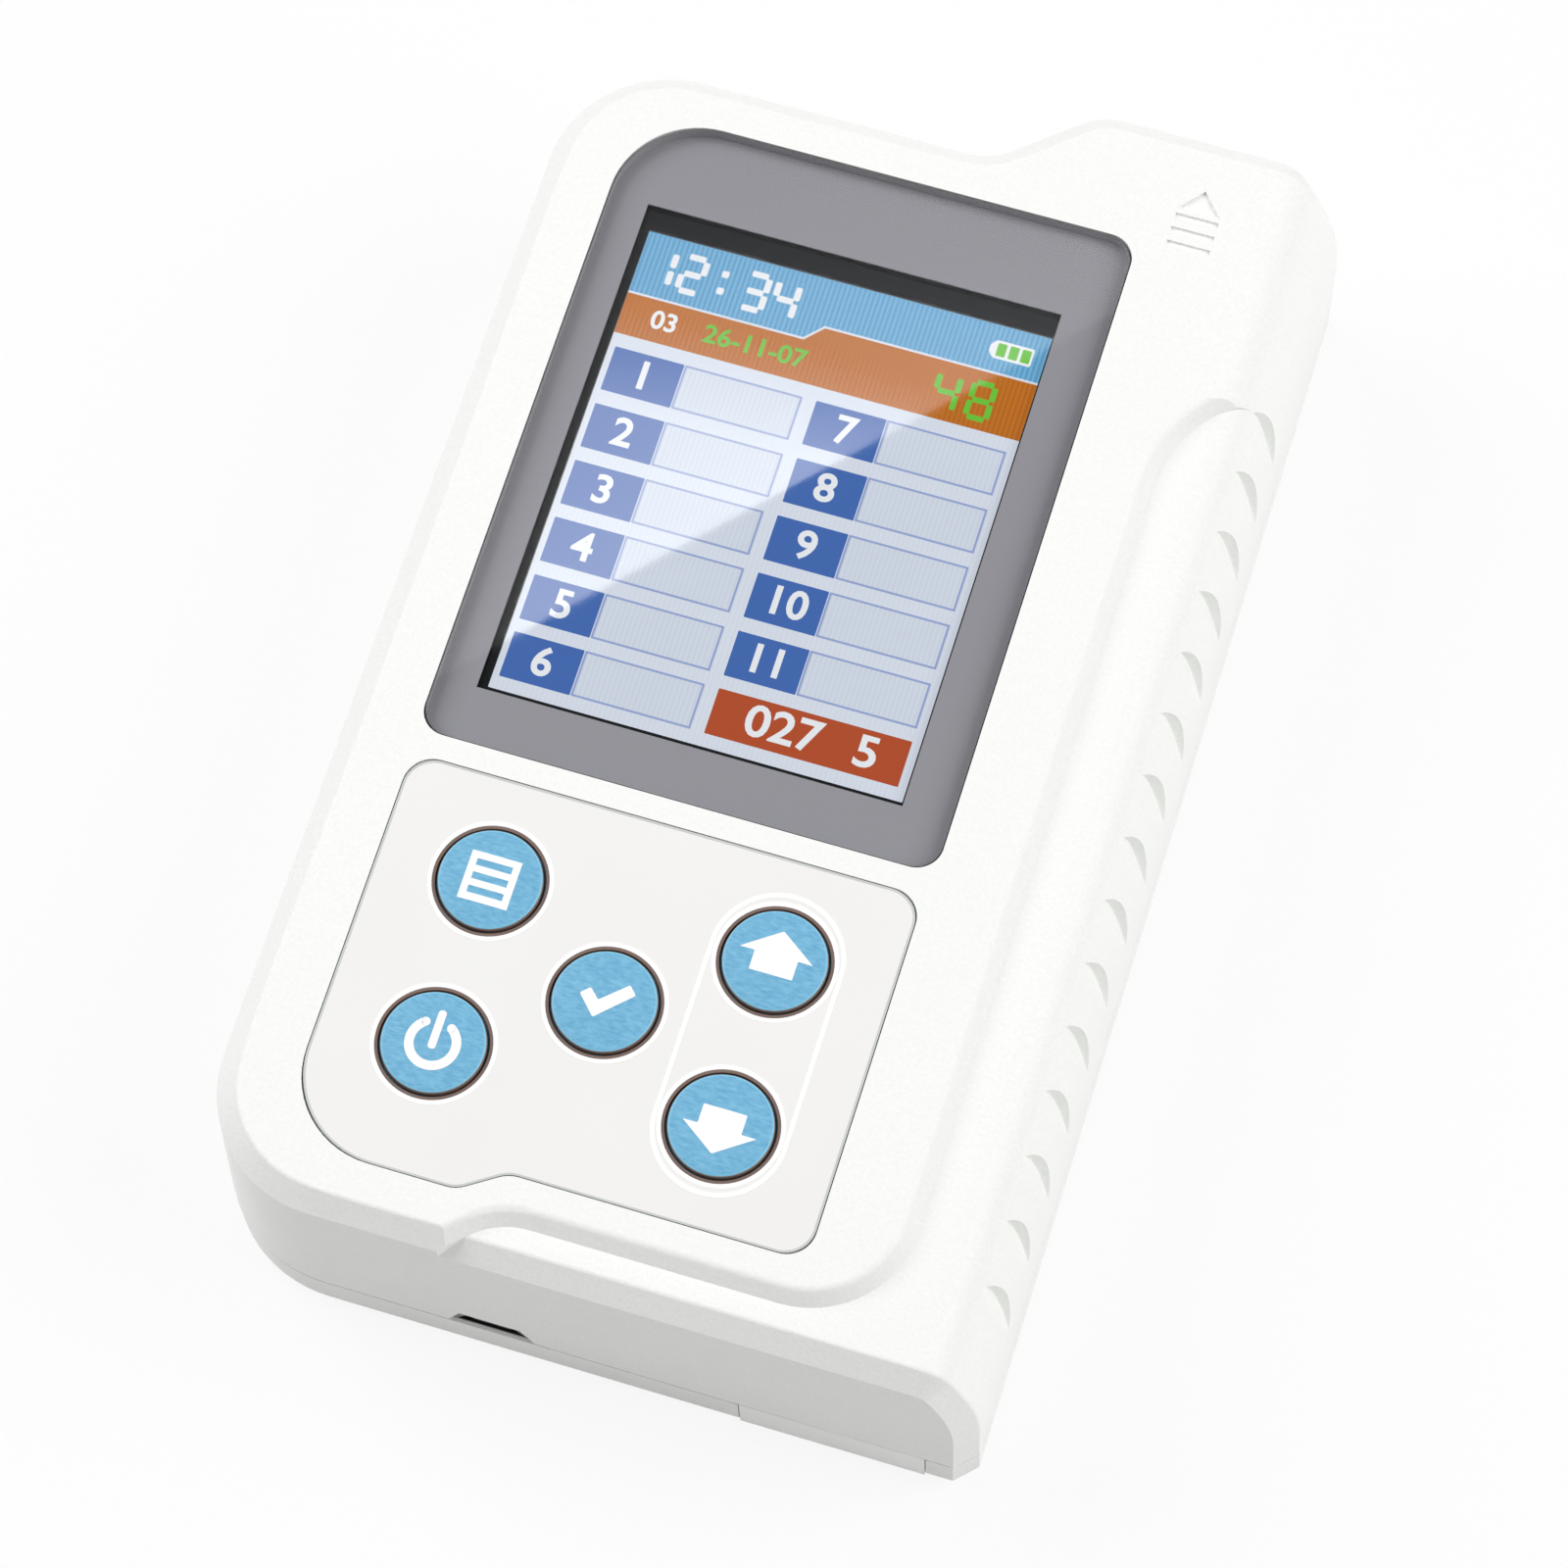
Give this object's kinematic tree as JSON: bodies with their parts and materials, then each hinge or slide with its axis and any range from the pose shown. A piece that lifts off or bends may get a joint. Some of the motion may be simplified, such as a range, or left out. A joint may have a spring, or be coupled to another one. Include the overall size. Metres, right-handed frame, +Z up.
{
  "type": "handheld urine analyzer",
  "caption": "Handheld urine test reader: white moulded case with stepped top, colour display behind a grey lens, round blue keys, and a motorised strip tray that slides out of the near end.",
  "frame": {"origin": "middle of the footprint, on the surface that the back of the case rests on", "axes": "+X to the right of the keys, +Y towards the display end, +Z up out of the display"},
  "size_m": [0.0734, 0.1222, 0.0301],
  "materials": {
    "shell_plastic": "warm white ABS with a fine spark texture",
    "tray_plastic": "white ABS, fine satin",
    "lens_acrylic": "clear polished acrylic",
    "mask_ink": "mid grey printed film seen through the lens",
    "foam_black": "black closed-cell foam",
    "display_glass": "lit display behind polished glass",
    "frame_steel": "pressed bright steel",
    "flex_film": "amber polyimide film",
    "connector_plastic": "ivory connector plastic",
    "panel_film": "pale grey satin overlay with a thin grey border",
    "seal_rubber": "dark brown-grey silicone",
    "key_plastic": "sky blue keycap, finely grained, white symbol",
    "switch_black": "black switch housing",
    "board_green": "green solder mask",
    "chip_epoxy": "black epoxy",
    "bright_steel": "bright zinc-plated steel",
    "rubber_grey": "dark grey rubber",
    "cell_film": "aluminium laminate pouch",
    "gear_acetal": "natural acetal, satin",
    "chassis_plastic": "dark grey glass-filled plastic",
    "reference_white": "matte white ceramic",
    "optics_black": "dead black anti-reflection plastic",
    "lamp_epoxy": "clear epoxy lamp",
    "window_glass": "thin clear glass"
  },
  "bodies": {
    "case": {"upper_shell": "shell_plastic", "lower_shell": "shell_plastic", "screen_lens": "lens_acrylic", "lens_mask": "mask_ink", "lcd_gasket": "foam_black", "lcd_panel": "display_glass", "lcd_frame": "frame_steel", "lcd_flex": "flex_film", "lcd_connector": "connector_plastic", "keypad_panel": "panel_film", "key_seals": "seal_rubber", "key_switches": "switch_black", "main_board": "board_green", "board_chips": "chip_epoxy", "radio_module": "frame_steel", "buzzer": "switch_black", "board_screws": "bright_steel", "case_screws": "bright_steel", "rubber_feet": "rubber_grey", "usb_board": "board_green", "usb_port": "frame_steel", "battery_pad": "foam_black", "battery": "cell_film", "gear_axle": "bright_steel", "drive_motor": "frame_steel", "tray_chassis": "chassis_plastic", "chassis_screws": "bright_steel", "optics_block": "optics_black", "optics_lamps": "lamp_epoxy", "optics_window": "window_glass", "sensor_board": "board_green", "tray_sensor": "switch_black"},
    "tray_body": {"tray": "tray_plastic", "white_reference": "reference_white"},
    "gear_body": {"drive_gear": "gear_acetal"},
    "rotor": {"motor_shaft": "bright_steel", "motor_pinion": "gear_acetal"},
    "menu_button": {"key_menu": "key_plastic"},
    "power_button": {"key_power": "key_plastic"},
    "ok_button": {"key_ok": "key_plastic"},
    "up_button": {"key_up": "key_plastic"},
    "down_button": {"key_down": "key_plastic"}
  },
  "joints": [
    {"name": "tray_slide", "type": "slide", "parent": "case", "child": "tray_body", "axis": [0, -1, 0], "range_m": [0, 0.078]},
    {"name": "gear_spin", "type": "hinge", "parent": "case", "child": "gear_body", "pos_m": [0.01047, -0.042, 0.0028], "axis": [0, 0, 1], "continuous": true},
    {"name": "motor_spin", "type": "hinge", "parent": "case", "child": "rotor", "pos_m": [-0.00258, -0.042, 0.0065], "axis": [0, 0, 1], "continuous": true},
    {"name": "menu_press", "type": "slide", "parent": "case", "child": "menu_button", "axis": [0, 0, -1], "range_m": [0, 0.0005], "stiffness_N_per_m": 1500, "springref_m": -0.0003},
    {"name": "power_press", "type": "slide", "parent": "case", "child": "power_button", "axis": [0, 0, -1], "range_m": [0, 0.0005], "stiffness_N_per_m": 1500, "springref_m": -0.0003},
    {"name": "ok_press", "type": "slide", "parent": "case", "child": "ok_button", "axis": [0, 0, -1], "range_m": [0, 0.0005], "stiffness_N_per_m": 1500, "springref_m": -0.0003},
    {"name": "up_press", "type": "slide", "parent": "case", "child": "up_button", "axis": [0, 0, -1], "range_m": [0, 0.0005], "stiffness_N_per_m": 1500, "springref_m": -0.0003},
    {"name": "down_press", "type": "slide", "parent": "case", "child": "down_button", "axis": [0, 0, -1], "range_m": [0, 0.0005], "stiffness_N_per_m": 1500, "springref_m": -0.0003}
  ],
  "couplings": [
    {"joint": "gear_spin", "follows": "tray_slide", "rad_per_m": -178.57},
    {"joint": "motor_spin", "follows": "tray_slide", "rad_per_m": 595.24}
  ]
}
